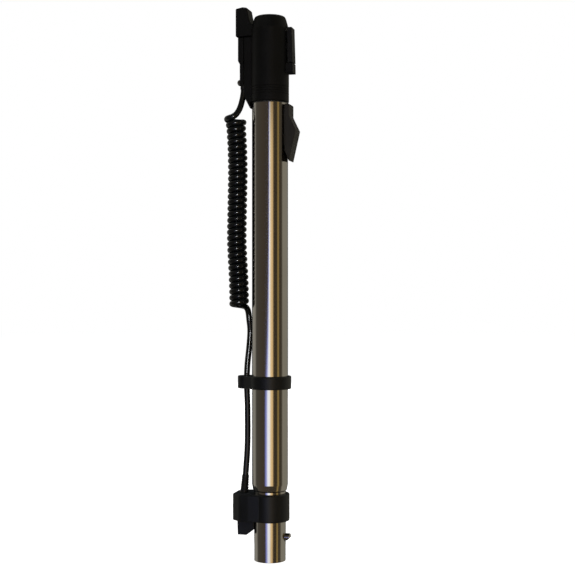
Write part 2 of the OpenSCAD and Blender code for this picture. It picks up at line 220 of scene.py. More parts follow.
def upright_rod(name, low, high, radius, radius_b=None, x=0, y=0, sides=ROUND):
    return rod(name, (x, y, low), (x, y, high), radius, radius_b, sides)


def side_hole(low_x, high_x, y, z, radius, sides=24):
    """A cutter for a round hole along X."""
    return rod("side_hole", (low_x, y, z), (high_x, y, z), radius, sides=sides)


def apply_modifiers(obj):
    bpy.context.view_layer.update()
    done = bpy.data.meshes.new_from_object(obj.evaluated_get(bpy.context.evaluated_depsgraph_get()))
    obj.modifiers.clear()
    obj.data = done


def combine(obj, operation, others):
    for other in others:
        step = obj.modifiers.new("combine", "BOOLEAN")
        step.operation = operation
        step.solver = "EXACT"
        step.object = other
        apply_modifiers(obj)
        bpy.data.objects.remove(other)
    return obj


def cut(obj, *cutters):
    return combine(obj, "DIFFERENCE", cutters)


def weld(obj, *others):
    return combine(obj, "UNION", others)


def join(name, *objs):
    """Several meshes as one object, each still its own shell."""
    tool = bmesh.new()
    for obj in objs:
        tool.from_mesh(obj.data)
        bpy.data.objects.remove(obj)
    mesh = bpy.data.meshes.new(name)
    tool.to_mesh(mesh)
    tool.free()
    return add_object(name, mesh)


def smooth(obj, angle=40):
    """Smooth shading that keeps flat faces flat and folds sharp."""
    tool = bmesh.new()
    tool.from_mesh(obj.data)
    for face in tool.faces:
        face.smooth = True
    for edge in tool.edges:
        edge.smooth = not (len(edge.link_faces) == 2 and edge.calc_face_angle() > math.radians(angle))
    tool.to_mesh(obj.data)
    tool.free()
    flat = obj.modifiers.new("flat faces", "WEIGHTED_NORMAL")
    flat.keep_sharp = True
    flat.weight = 80
    return obj


# -------- materials


def material(name):
    mat = bpy.data.materials.new(name)
    mat.use_nodes = True
    shader = mat.node_tree.nodes["Principled BSDF"]
    return mat, mat.node_tree, shader


def place(tree, scale=(1, 1, 1)):
    """Coordinates of the object's own frame, stretched by a factor for each axis."""
    coords = tree.nodes.new("ShaderNodeTexCoord")
    mapping = tree.nodes.new("ShaderNodeMapping")
    mapping.inputs["Scale"].default_value = scale
    tree.links.new(coords.outputs["Object"], mapping.inputs["Vector"])
    return mapping.outputs["Vector"]


def noise(tree, where, scale, detail=3, rough=0.5):
    node = tree.nodes.new("ShaderNodeTexNoise")
    node.inputs["Scale"].default_value = scale
    node.inputs["Detail"].default_value = detail
    node.inputs["Roughness"].default_value = rough
    tree.links.new(where, node.inputs["Vector"])
    return node.outputs["Fac"]


def spread(tree, value, low, high, low_in=0.3, high_in=0.7):
    """Maps a value from one range onto another, and holds it at the ends."""
    node = tree.nodes.new("ShaderNodeMapRange")
    node.inputs["From Min"].default_value = low_in
    node.inputs["From Max"].default_value = high_in
    node.inputs["To Min"].default_value = low
    node.inputs["To Max"].default_value = high
    tree.links.new(value, node.inputs["Value"])
    return node.outputs["Result"]


def calculate(tree, operation, *values):
    """A maths node on sockets and plain numbers."""
    node = tree.nodes.new("ShaderNodeMath")
    node.operation = operation
    for socket, value in zip(node.inputs, values):
        if isinstance(value, (int, float)):
            socket.default_value = value
        else:
            tree.links.new(value, socket)
    return node.outputs[0]


def mottle(tree, shader, share, first, second):
    """A base colour that wanders between two colours."""
    node = tree.nodes.new("ShaderNodeMix")
    node.data_type = "RGBA"
    node.inputs["A"].default_value = (*first, 1)
    node.inputs["B"].default_value = (*second, 1)
    tree.links.new(share, node.inputs["Factor"])
    tree.links.new(node.outputs["Result"], shader.inputs["Base Color"])


def vary_sheen(tree, shader, share, low, high):
    tree.links.new(spread(tree, share, low, high), shader.inputs["Roughness"])


def relief(tree, shader, height, distance, strength=1.0):
    bump = tree.nodes.new("ShaderNodeBump")
    bump.inputs["Distance"].default_value = distance
    bump.inputs["Strength"].default_value = strength
    tree.links.new(height, bump.inputs["Height"])
    tree.links.new(bump.outputs["Normal"], shader.inputs["Normal"])


def moulded_plastic(name, colour, roughness, grain=0.000012, worn=1.8, specular=0.5):
    """Black moulding: fine spark-eroded grain, uneven sheen, and a tone that wanders a little paler at
    random.
    """
    mat, tree, shader = material(name)
    where = place(tree)
    cloud = noise(tree, where, 45, 4)
    fine = noise(tree, where, 2600, 2, 0.6)
    worn_colour = tuple(c * worn + 0.004 for c in colour)
    mottle(tree, shader, spread(tree, cloud, 0, 0.5), colour, worn_colour)
    vary_sheen(tree, shader, cloud, roughness - 0.05, roughness + 0.07)
    relief(tree, shader, fine, grain)
    shader.inputs["Specular IOR Level"].default_value = specular
    return mat


def drawn_chrome(name, colour, roughness):
    """Chrome plate over a drawn tube: long faint lines along the tube and a few hazy patches."""
    mat, tree, shader = material(name)
    shader.inputs["Metallic"].default_value = 1.0
    lines = noise(tree, place(tree, (1, 1, 0.006)), 1500, 4, 0.6)
    haze = noise(tree, place(tree, (1, 1, 0.35)), 38, 3)
    mottle(tree, shader, spread(tree, haze, 0, 1), colour, tuple(c * 0.93 for c in colour))
    drawn, hazy = spread(tree, lines, -0.02, 0.035), spread(tree, haze, roughness, roughness + 0.03)
    tree.links.new(calculate(tree, "ADD", drawn, hazy), shader.inputs["Roughness"])
    relief(tree, shader, lines, 0.0000016)
    return mat


def plated_steel(name, colour, roughness):
    """Bright metal: cloudy sheen and fine scratches."""
    mat, tree, shader = material(name)
    shader.inputs["Metallic"].default_value = 1.0
    where = place(tree)
    cloud = noise(tree, where, 300, 3)
    scratches = noise(tree, place(tree, (1, 8, 1)), 1800, 2)
    mottle(tree, shader, spread(tree, cloud, 0, 1), colour, tuple(c * 0.8 for c in colour))
    vary_sheen(tree, shader, cloud, roughness - 0.05, roughness + 0.08)
    relief(tree, shader, scratches, 0.000003)
    return mat


def cord_jacket(name, colour):
    """Soft PVC: glossy, with a slight orange peel and faint smears of handling."""
    mat, tree, shader = material(name)
    where = place(tree)
    smear = noise(tree, where, 70, 4)
    peel = noise(tree, where, 900, 2)
    paler = tuple(c * 1.6 + 0.003 for c in colour)
    mottle(tree, shader, spread(tree, smear, 0, 0.6), colour, paler)
    vary_sheen(tree, shader, smear, 0.10, 0.15)
    relief(tree, shader, peel, 0.000006)
    return mat


MATERIALS = {
    "tube_chrome": drawn_chrome("tube_chrome", (0.62, 0.60, 0.57), 0.10),
    "inner_chrome": drawn_chrome("inner_chrome", (0.66, 0.65, 0.63), 0.08),
    "button_chrome": plated_steel("button_chrome", (0.72, 0.71, 0.70), 0.12),
    "barrel_plastic": moulded_plastic("barrel_plastic", (0.0075, 0.0080, 0.0083), 0.50, specular=0.22),
    "trim_plastic": moulded_plastic("trim_plastic", (0.0078, 0.0100, 0.0122), 0.44),
    "lever_plastic": moulded_plastic("lever_plastic", (0.030, 0.028, 0.0245), 0.55),
    "latch_plastic": moulded_plastic("latch_plastic", (0.0095, 0.0098, 0.0105), 0.46, specular=0.3),
    "bush_plastic": moulded_plastic("bush_plastic", (0.05, 0.05, 0.05), 0.45),
    "glide_plastic": moulded_plastic("glide_plastic", (0.55, 0.54, 0.50), 0.40, worn=0.9),
    "insulator": moulded_plastic("insulator", (0.45, 0.43, 0.38), 0.45, worn=0.9),
    "cord_jacket": cord_jacket("cord_jacket", (0.010, 0.0125, 0.0140)),
    "relief_rubber": moulded_plastic("relief_rubber", (0.012, 0.013, 0.014), 0.45, grain=0.00002),
    "seal_rubber": moulded_plastic("seal_rubber", (0.02, 0.02, 0.02), 0.65, grain=0.00003),
    "lead_wire": moulded_plastic("lead_wire", (0.35, 0.05, 0.04), 0.35, worn=0.9),
    "steel": plated_steel("steel", (0.55, 0.55, 0.54), 0.30),
    "screw_steel": plated_steel("screw_steel", (0.36, 0.37, 0.38), 0.34),
    "spring_steel": plated_steel("spring_steel", (0.45, 0.45, 0.46), 0.28),
    "brass": plated_steel("brass", (0.72, 0.53, 0.25), 0.25),
}


def paint(obj, slot_name):
    obj.data.materials.clear()
    obj.data.materials.append(MATERIALS[slot_name])


def fit(obj, body, *nodes):
    """The piece takes the place of these CAD nodes, on their body and with their finish."""
    slot_name = slots[nodes[0]]
    paint(obj, slot_name)
    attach(obj, body)
    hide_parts(*nodes)
    return obj


for node, obj in frame["nodes"].items():
    paint(obj, slots[node])

# -------- cord

CORD_R = 3.0
COIL_R = 10.3
COIL_TURNS = 31
COIL_START = -112  # angle round the coil's axis at its top end, in degrees, seen from above
COIL_END = 68
COIL_FLARE, FLARE_TURNS = 1.7, 1.3  # how much wider the coil starts, and over how many turns
COIL_RISE = 3.2  # how far the first turn's centre starts above the rest of the coil's top
TURN_POINTS = 40
UPPER_END, LOWER_START = 449, 238  # heights where the straight stretches bend into the coil
UPPER_ROUTE = [
    (-26.4, -3.4, 490), (-26.4, -3.4, 479), (-26.4, -3.4, 469), (-27.6, -3.8, 461),
    (-29.6, -4.8, 453), (-32.4, -6.2, 446.4), (-33.4, -6.6, 442.5),
]
COIL_ROUTE = [
    (-36, 0, 442.5), (-35, 0, 430), (-34, 0, 412), (-33.5, 0, 390), (-33.8, 0, 370),
    (-34.2, 0, 350), (-34.6, 0, 322), (-34, 0, 305), (-33, 0, 288), (-32.3, 0, 270), (-32, 0, 251),
]
LOWER_ROUTE = [
    (-25, 1, 251), (-23, 3, 242), (-21.6, 4, 230), (-22.4, 3, 213), (-23.6, 1, 197),
    (-24, 0, 185), (-24, 0, 171), (-23.4, 0, 156), (-23.2, 0, 140), (-23.2, 0, 124),
    (-23.6, 0, 109), (-24.35, 0, 98), (-25.4, 0, 84), (-26.3, 0, 72), (-27.2, 0, 60), (-27.6, 0, 53),
]


def through(points, spacing):
    """A smooth line through the points, sampled about every spacing."""
    points = [Vector(p) for p in points]
    padded = [2 * points[0] - points[1], *points, 2 * points[-1] - points[-2]]
    line = []
    for a, b, c, d in zip(padded, padded[1:], padded[2:], padded[3:]):
        steps = max(1, round((c - b).length / spacing))
        for k in range(steps):
            t = k / steps
            line.append(
                0.5 * (2 * b + (c - a) * t + (2 * a - 5 * b + 4 * c - d) * t * t
                       + (3 * b - 3 * c + d - a) * t ** 3)
            )
    return line + [points[-1]]


def length_of(line):
    return sum((b - a).length for a, b in zip(line, line[1:]))


def along_route(route, height):
    """The place on a route that falls steadily, at a height."""
    for a, b in zip(route, route[1:]):
        if a[2] >= height >= b[2]:
            return Vector(a).lerp(Vector(b), (a[2] - height) / (a[2] - b[2]))
    return Vector(route[-1] if height < route[-1][2] else route[0])


def cord_line():
    """The whole cord's centreline, and for each point how far the handle end carries it."""
    mean = COIL_R - CORD_R
    top = COIL_ROUTE[0][2] - CORD_R + COIL_RISE
    low = COIL_ROUTE[-1][2] + CORD_R
    turns = COIL_TURNS + (COIL_START - COIL_END) / 360 % 1
    count = round(turns * TURN_POINTS)
    axis = through(COIL_ROUTE, 4)
    helix = []
    for k in range(count + 1):
        t = k / count
        turn = math.radians(COIL_START) - 2 * math.pi * turns * t
        wide = mean + COIL_FLARE * max(0, 1 - turns * t / FLARE_TURNS)
        centre = along_route(axis, top + (low - top) * t)
        helix.append(centre + wide * Vector((math.cos(turn), math.sin(turn), 0)))
    upper = [p for p in through(UPPER_ROUTE, 1.2) if p.z > UPPER_END]
    lower = [p for p in through(LOWER_ROUTE, 1.2) if p.z < LOWER_START]
    first = bridge(upper[-1], upper[-1] - upper[-2], helix[0], helix[1] - helix[0])
    second = bridge(helix[-1], helix[-1] - helix[-2], lower[0], lower[1] - lower[0])
    line = upper + first + helix + second + lower
    carried = [1.0] * (len(upper) + len(first))
    carried += [1 - k / count for k in range(count + 1)]
    carried += [0.0] * (len(second) + len(lower))
    return evenly(line, carried)


def evenly(line, values, spacing=1.1, passes=8):
    """The same line, evened out, with its points a spacing apart, and the values at them."""
    total = length_of(line)
    count = round(total / spacing)
    result, kept, walked, i = [], [], 0.0, 0
    for k in range(count + 1):
        target = total * k / count
        step = (line[i + 1] - line[i]).length
        while walked + step < target and i < len(line) - 2:
            walked += step
            i += 1
            step = (line[i + 1] - line[i]).length
        t = min(1, (target - walked) / step)
        result.append(line[i].lerp(line[i + 1], t))
        kept.append(values[i] + (values[i + 1] - values[i]) * t)
    for _ in range(passes):
        result = [result[0]] + [
            (a + 2 * b + c) / 4 for a, b, c in zip(result, result[1:], result[2:])
        ] + [result[-1]]
    return result, kept


def bridge(a, a_dir, b, b_dir, steps=24):
    """A smooth bend from one point and heading to another, without its ends."""
    pull = (b - a).length * 1.2
    ta, tb = a_dir.normalized() * pull, b_dir.normalized() * pull
    bend = []
    for k in range(1, steps):
        t = k / steps
        bend.append(
            a * (2 * t ** 3 - 3 * t ** 2 + 1) + ta * (t ** 3 - 2 * t ** 2 + t)
            + b * (3 * t ** 2 - 2 * t ** 3) + tb * (t ** 3 - t ** 2)
        )
    return bend


def tube_along(name, line, radius, sides):
    """A closed tube along a line, without twist."""
    headings = [
        (line[min(i + 1, len(line) - 1)] - line[max(i - 1, 0)]).normalized() for i in range(len(line))
    ]
    u = headings[0].orthogonal().normalized()
    points = []
    for at, heading in zip(line, headings):
        u = (u - heading * u.dot(heading)).normalized()
        v = heading.cross(u)
        for k in range(sides):
            turn = 2 * math.pi * k / sides
            points.append(at + radius * (math.cos(turn) * u + math.sin(turn) * v))
    return new_mesh(name, points, tube_faces(len(line) - 1, sides))


def make_cord():
    sides = 20
    line, carried = cord_line()
    cord = tube_along("power_cord", line, CORD_R, sides)
    for face in cord.data.polygons:
        face.use_smooth = True
    paint(cord, "cord_jacket")
    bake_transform(cord, "outer_wand", "handle_end", start=(0, 0, 0.251), end=(0, 0, 0.4425))
    # each ring of the tube keeps its round section, and the coil opens evenly
    share = cord.data.attributes["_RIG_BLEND"]
    share.data.foreach_set("value", [w for w in carried for _ in range(sides)])
    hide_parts("cord_upper", "cord_coil", "cord_lower")


make_cord()

# -------- shared shapes


def moulding(name, outline, low, high, axis="y", edge=0.8, corner=0, segments=4):
    """A prism with every edge rounded. A corner of the outline is rounded more only where it says so."""
    obj = prism(name, rounded(outline, corner), low, high, axis)
    rims = obj.modifiers.new("rims", "BEVEL")
    rims.width = edge * MM
    rims.segments = segments
    rims.limit_method = "ANGLE"
    rims.angle_limit = math.radians(24)
    apply_modifiers(obj)
    return obj


def box_moulding(name, low, high, edge=0.6):
    return moulding(name, oblong(low, high), low[1], high[1], edge=edge)


def cross_rod(x, z, radius, low, high, sides=40):
    """A round bar along Y."""
    return rod("cross_rod", (x, low, z), (x, high, z), radius, sides=sides)


def stand(obj, base, along):
    """Moves a shape made round the Z axis so that it stands at base and points along."""
    spin = Vector(along).to_track_quat("Z", "Y").to_matrix().to_4x4()
    obj.data.transform(Matrix.Translation(Vector(base) * MM) @ spin)
    return obj


def screw(name, base, along, profile, recess):
    """A screw with a cross recess. profile is its head and shank as radius and height."""
    obj = lathe(name, [(0, profile[0][1]), *profile, (0, profile[-1][1])], 48)
    top, turned, half_width, depth = profile[-1][1], 0.4, 0.32, 0.9
    for turn in (turned, turned + math.pi / 2):
        slot_cut = brick("slot_cut", (-recess, -half_width, top - depth), (recess, half_width, top + 1))
        slot_cut.data.transform(Matrix.Rotation(turn, 4, "Z"))
        cut(obj, slot_cut)
    return smooth(stand(obj, base, along))


def spring_line(radius, low, high, turns, per_turn=24, start=0.0):
    """A helix along Z with one dead turn at each end."""
    points = []
    count = round(turns * per_turn)
    for k in range(count + 1):
        done = k / per_turn
        rise = min(max(done - 1, 0), turns - 2) / (turns - 2)
        turn = start + 2 * math.pi * done
        height = low + (high - low) * rise
        points.append(Vector((radius * math.cos(turn), radius * math.sin(turn), height)))
    return points


def wire(name, points, radius, sides=12, spacing=0.5):
    return smooth(tube_along(name, through(points, spacing), radius, sides))


# -------- tubes

NOZZLE_R, MAIN_R, INNER_R, WALL = 15.9, 18.0, 16.0, 0.8
SHOULDER_Z, NECK_Z, MAIN_TOP = 69.4, 76.4, 456.0
INNER_LOW, INNER_HIGH = 80.0, 497.0
BUTTON_Z, PAWL_Z, RATCHET_PITCH, RIVET_Z = 24.0, 449.0, 25.0, 476.0
LOWEST_HOLE_Z = 149


def pawl_window(low_x, high_x):
    """A cutter for the window that the pawl passes through."""
    return brick("window", (low_x, -3.4, 445.3), (high_x, 3.4, 453.3))


def make_outer_tube():
    bore, nozzle_bore = MAIN_R - WALL, NOZZLE_R - WALL
    profile = rounded([
        (nozzle_bore, 0), (NOZZLE_R - 0.2, 0), (NOZZLE_R - 0.2, 13), (NOZZLE_R, 22),
        (NOZZLE_R, SHOULDER_Z + 0.2), (NOZZLE_R + 1.05, SHOULDER_Z + 1.3), (MAIN_R, NECK_Z),
        (MAIN_R, MAIN_TOP), (bore, MAIN_TOP), (bore, NECK_Z + 0.3), (nozzle_bore, SHOULDER_Z + 0.6),
    ], [0.3, 0.3, 8, 8, 0.35, 1.6, 6, 0.3, 0.3, 4, 4], 6)
    tube = lathe("outer_tube_shell", profile, 192)
    cut(
        tube,
        side_hole(nozzle_bore - 3, nozzle_bore + 3, 0, BUTTON_Z - 0.3, 4.4, 48),
        pawl_window(bore - 3, MAIN_R + 1),
        side_hole(nozzle_bore - 1, nozzle_bore + 2, 0, 60, 1.3),
    )
    fit(smooth(tube), "outer_wand", "outer_tube")


def make_inner_tube():
    bore = INNER_R - WALL
    profile = rounded([
        (bore, INNER_LOW), (INNER_R, INNER_LOW), (INNER_R, INNER_HIGH), (bore, INNER_HIGH),
    ], 0.25, 3)
    tube = lathe("inner_tube_shell", profile, 192)
    count = round((PAWL_Z - LOWEST_HOLE_Z) / RATCHET_PITCH) + 1
    for i in range(count):
        cut(tube, side_hole(INNER_R - 3, INNER_R + 2, 0, PAWL_Z - i * RATCHET_PITCH, 4, 40))
    fit(smooth(tube), "handle_end", "inner_tube_lower", "inner_tube_middle", "inner_tube_upper")


make_outer_tube()
make_inner_tube()

# -------- handle end

BARREL_R, MOUTH_R, THROAT_R = 19.0, 13.0, 13.4
BARREL_Z, MOUTH_Z = 457.0, 543.0
GRIP_GROOVES = (464.8, 467.2, 469.6, 472.0)
EXIT_X, EXIT_Y = -26.4, -3.4
COVER_SCREW_Y, COVER_SCREW_Z = 3.8, 479
PIN_X, PIN_Y = -26.5, 4.0
LATCH_X, LATCH_Z = 21.0, 512.0


def barrel_solid(grow, grooves=()):
    """The barrel's outside as a filled shape, with grip grooves at these heights."""
    r = BARREL_R + grow
    low, high = BARREL_Z - grow, MOUTH_Z + grow
    groove = ((0, -0.5), (0.35, -0.3), (0.35, 0.3), (0, 0.5))
    rings = [(r - deep, z + dz) for z in grooves for deep, dz in groove]
    profile = [
        (0, low), (r - 0.6, low), (r, BARREL_Z + 0.7), *rings, (r, 530), (r - 0.6, 532.4),
        (16.1 + grow, 540.6), (15.1 + grow, 542.4), (13.8 + grow, high), (0, high),
    ]
    corners = [0, 0.4, 0.4, *[0] * len(rings), 2.5, 3, 2, 1, 0.5, 0]
    return lathe("barrel_solid", rounded(profile, corners, 4))


def make_barrel():
    barrel = barrel_solid(0, GRIP_GROOVES)
    barrel.name = "coupling_barrel_shell"
    weld(barrel, moulding("keel", [
        (-10, BARREL_Z + 0.5), (-10, 523), (-25.2, 523), (-25.2, 463.6), (-18.5, 450.8),
        (-18.5, BARREL_Z + 0.5),
    ], -8, 8, edge=1.1))
    cut(
        barrel,
        upright_rod("inner_tube", 440, INNER_HIGH + 0.2, INNER_R + 0.02),
        upright_rod("throat", INNER_HIGH, 529, THROAT_R),
        upright_rod("mouth", 528, 560, MOUTH_R),
        upright_rod("lead_in", MOUTH_Z - 0.6, MOUTH_Z + 0.3, MOUTH_R, MOUTH_R + 0.7),
        upright_rod("seal_groove", 503, 506.4, 14),
        brick("channel", (-26, -6, 476), (-20, 0.3, 524)),
        brick("channel", (-26, 0.2, 485), (-20, 6, 524)),
        upright_rod("groove", 455, 492, 3.75, x=EXIT_X, y=EXIT_Y, sides=48),
        brick("pocket", (17, -6.8, 493.4), (21, 6.8, 531.8)),
        brick("window", (10, -3.5, 518.6), (18, 3.5, 528.4)),
        rod("hole", (0, 14.5, RIVET_Z), (0, 22, RIVET_Z), 1.6, sides=24),
        side_hole(-27, -21, COVER_SCREW_Y, COVER_SCREW_Z, 1.2),
    )
    fit(smooth(barrel), "handle_end", "coupling_barrel")


def make_rear_cover():
    low_part = moulding("rear_cover_shell", [
        (-25.3, 474), (-29.6, 474), (-29.6, 500), (-25.3, 500),
    ], -7.5, 7.5, edge=0.9)
    high_part = moulding("high_part", [
        (-25.3, 496), (-29.6, 496), (-31.3, 499), (-31.3, 522.6), (-25.3, 522.6),
    ], -8, 8, edge=0.9)
    cover = weld(low_part, high_part)
    cut(
        cover,
        brick("cavity", (-28, -5.9, 476), (-24, 5.9, 499)),
        brick("cavity", (-29.7, -6.2, 499), (-24, 6.2, 520.8)),
        upright_rod("slot_end", 470, 492, 3.7, x=EXIT_X, y=EXIT_Y, sides=48),
        brick("slot", (-31, EXIT_Y - 3.7, 470), (EXIT_X, EXIT_Y + 3.7, 488)),
        side_hole(-31, -23, COVER_SCREW_Y, COVER_SCREW_Z, 1.3),
    )
    fit(smooth(cover), "handle_end", "rear_cover")


def make_cover_screw():
    head_r, head_low = 3.3, 2.1
    angles = [math.radians(10 * k) for k in range(9)]
    dome = [(head_r * math.cos(a), head_r * math.sin(a) + head_low) for a in angles]
    profile = [(1.15, -7.4), (1.15, 0), (2.7, 0), (2.7, 2.0), (head_r - 0.1, 2.05), *dome]
    knob = screw("cover_screw_head", (-29.65, COVER_SCREW_Y, COVER_SCREW_Z), (-1, 0, 0), profile, 1.5)
    fit(knob, "handle_end", "cover_screw")


def make_shroud():
    shroud = moulding("plug_shroud_shell", [
        (-33.2, 523), (-14, 523), (-14, 534.5), (-18.1, 535), (-21.3, 551.7), (-26, 552.4),
        (-33.2, 551.0),
    ], -9.7, 9.7, edge=1.1)
    recess = prism("recess", [
        (-31.4, 532.2), (-19.4, 532.2), (-19.6, 535), (-23.6, 556), (-31.4, 556),
    ], -8.1, 8.1)
    cut(
        shroud, barrel_solid(0.05), recess,
        brick("seat", (-30.8, -7.5, 524.8), (-22, 7.5, 533)),
        brick("lead_hole", (-24.8, -5, 522), (-21.2, 5, 526)),
    )
    # three shallow grip lines across the back
    for z in (541.5, 544.0, 546.5):
        cut(shroud, cross_rod(-33.55, z, 0.6, -6.5, 6.5, 20))
    fit(smooth(shroud), "handle_end", "plug_shroud")


def make_pins():
    pins = []
    for side in (-1, 1):
        profile = [(0, 525), (1.6, 525), (1.6, 545.6), (0.9, 546.8), (0, 546.8)]
        pin = lathe("pin", rounded(profile, [0, 0.2, 0.8, 0.6, 0]), 40)
        pins.append(stand(pin, (PIN_X, side * PIN_Y, 0), (0, 0, 1)))
    fit(smooth(join("plug_pin_pair", *pins)), "handle_end", "plug_pins")
    block = box_moulding("pin_block_body", (-30.7, -7.4, 526.6), (-22.1, 7.4, 532.1), 0.5)
    for side in (-1, 1):
        cut(block, upright_rod("hole", 520, 540, 1.65, x=PIN_X, y=side * PIN_Y, sides=32))
    fit(smooth(block), "handle_end", "pin_block")


def make_upper_leads():
    leads = [wire("lead", [
        (EXIT_X, EXIT_Y + side * 1.2, 490.6), (-25.4, EXIT_Y * 0.4 + side * 2.3, 495),
        (-23.3, side * 3.3, 501), (-23.2, side * 3.4, 512), (-23.2, side * 3.5, 522),
        (-23.5, side * 3.7, 525), (-24.9, side * 3.8, 525.8),
    ], 0.7) for side in (-1, 1)]
    fit(join("upper_lead_pair", *leads), "handle_end", "upper_leads")


def make_latch():
    half_width, lug_y, lug_half = 6.5, 3.9, 0.7
    foot = moulding("latch_housing_shell", [
        (14, 485.5), (25, 485.5), (24.8, 495.3), (14, 495.3),
    ], -half_width, half_width, edge=0.4)
    cut(foot, barrel_solid(0.05))
    weld(
        foot,
        brick("tongue", (17.05, -6.4, 493.5), (20, 6.4, 495.3)),
        brick("plate", (17.05, -4.6, 494), (18, 4.6, 517.6)),
    )
    for side in (-1, 1):
        low, high = side * lug_y - lug_half, side * lug_y + lug_half
        weld(
            foot,
            brick("lug", (17.9, low, LATCH_Z - 3), (LATCH_X, high, LATCH_Z + 3)),
            cross_rod(LATCH_X, LATCH_Z, 1.7, low, high, 32),
        )
    cut(foot, cross_rod(LATCH_X, LATCH_Z, 1.05, -6, 6, 32))
    fit(smooth(foot), "handle_end", "latch_housing")

    button = moulding("latch_button_shell", [
        (19.3, 495.9), (24.8, 495.9), (23.8, 530.8), (19.3, 530.8),
    ], -half_width, half_width, edge=0.4)
    cut(
        button,
        brick("toe", (19, -7, 495), (20.2, 7, 499)),
        prism("cavity", [(19, 497.6), (23.3, 497.6), (22.5, 527.6), (19, 527.6)], -5, 5),
        cross_rod(LATCH_X, LATCH_Z, 1.08, -5.9, 5.9, 32),
    )
    weld(button, moulding("tooth", [
        (11.9, 523.6), (11.9, 525.8), (19.5, 528), (22.9, 528), (22.9, 520.4), (14.6, 520.4),
    ], -3, 3, edge=0.3))
    # finger grooves at the lower end
    for i in range(4):
        z = 499.2 + 2.1 * i
        cut(button, cross_rod(25.15 - (z - 496) * 0.03, z, 0.65, -5.0, 5.0, 20))
    fit(smooth(button), "latch_rocker", "latch_button")

    spring = tube_along("latch_spring_coil", spring_line(1.95, 0.3, 4.65, 6.5), 0.3, 10)
    stand(spring, (18.05, 0, 502), (1, 0, 0))
    fit(smooth(spring), "handle_end", "latch_spring")
    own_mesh(spring)


def sleeve(name, base, along, profile, bore, body, node):
    """A rubber sleeve round the cord: the outside as height and radius along it."""
    outside = [(r, z) for z, r in profile]
    ring = [(bore, profile[0][0]), *outside, (bore, profile[-1][0])]
    obj = lathe(name, rounded(ring, [0.05] + [0.25] * len(outside) + [0.05], 3), 64)
    fit(smooth(stand(obj, base, along), 50), body, node)


def ribbed(start, end, first_r, last_r, rib=1.5, gap=1.1, depth=0.32):
    """A taper cut by ring grooves."""
    profile, z = [(start, first_r)], start + 1.6
    while z + rib + gap < end:
        for at, down in ((z, 0), (z + 0.15, depth), (z + gap - 0.15, depth), (z + gap, 0)):
            share = (at - start) / (end - start)
            profile.append((at, first_r + (last_r - first_r) * share - down))
        z += rib + gap
    return profile + [(end, last_r)]


def make_handle_trim():
    sleeve(
        "upper_relief_sleeve", (EXIT_X, EXIT_Y, 491), (0, 0, -1),
        [(0, 3.62), (1.8, 3.62), (1.81, 3.58), *ribbed(1.9, 20, 3.58, 3.3, depth=0.16)], CORD_R + 0.12,
        "handle_end", "upper_strain_relief",
    )
    head = [(1.5, -2.8), (1.5, 1.6), (2.55, 1.62), (2.6, 1.9), (2.2, 2.35), (1.2, 2.62), (0.1, 2.68)]
    rivet = lathe("barrel_rivet_head", [(0, -2.8), *head, (0, 2.68)], 40)
    fit(smooth(stand(rivet, (0, 17.6, RIVET_Z), (0, 1, 0))), "handle_end", "barrel_rivet")
    lip = rounded([(13.95, 503.1), (13.95, 506.3), (13.3, 506.3), (12.9, 504.9), (13.4, 503.1)], 0.25, 4)
    fit(smooth(lathe("handle_seal_lip", lip, 96)), "handle_end", "handle_seal")
    low, high, outer = INNER_LOW - 1.5, INNER_LOW + 11, MAIN_R - WALL - 0.1
    glide = rounded([
        (INNER_R + 0.02, INNER_LOW), (INNER_R - WALL, INNER_LOW), (INNER_R - WALL, low), (outer, low),
        (outer, high), (INNER_R + 0.02, high),
    ], [0.05, 0.1, 0.3, 0.6, 0.6, 0.2], 4)
    fit(smooth(lathe("glide_ring_body", glide)), "handle_end", "glide_ring")


make_barrel()
make_rear_cover()
make_cover_screw()
make_shroud()
make_pins()
make_upper_leads()
make_latch()
make_handle_trim()

# -------- telescope lock

PIVOT_X, PIVOT_Z = 22.0, 424.0
SADDLE_R = MAIN_R + 1.3


def make_lever():
    top, tip = 454.5, 397.5
    lever = moulding("lock_lever_shell", [
        (17.4, top), (21.9, top), (21.9, 442.5), (28.75, 428.4), (21.7, tip), (17.4, 408),
    ], -10, 10, edge=0.8)
    cavity = prism("cavity", [
        (15, 452.4), (20.3, 452.4), (20.3, 443), (26.2, 429.6), (26.4, 428.4), (20.9, 405), (15, 405),
    ], -8.4, 8.4)
    cut(
        lever, cavity,
        upright_rod("low_tube", 390, 408, 20.3, sides=96),
        upright_rod("main_tube", 407, 457, MAIN_R + 0.5, sides=96),
        cross_rod(PIVOT_X, PIVOT_Z, 1.3, -9.2, 9.2, 32),
    )
    # finger grooves down the face that is pressed
    face_x, face_z, tip_x = 28.4, 427.4, 21.8
    for i in range(6):
        share = 0.22 + 0.11 * i
        x, z = face_x + (tip_x - face_x) * share, face_z + (tip - face_z) * share
        cut(lever, cross_rod(x + 0.35, z - 0.08, 0.62, -7.6, 7.6, 20))
    fit(smooth(lever), "lock_rocker", "lock_lever")


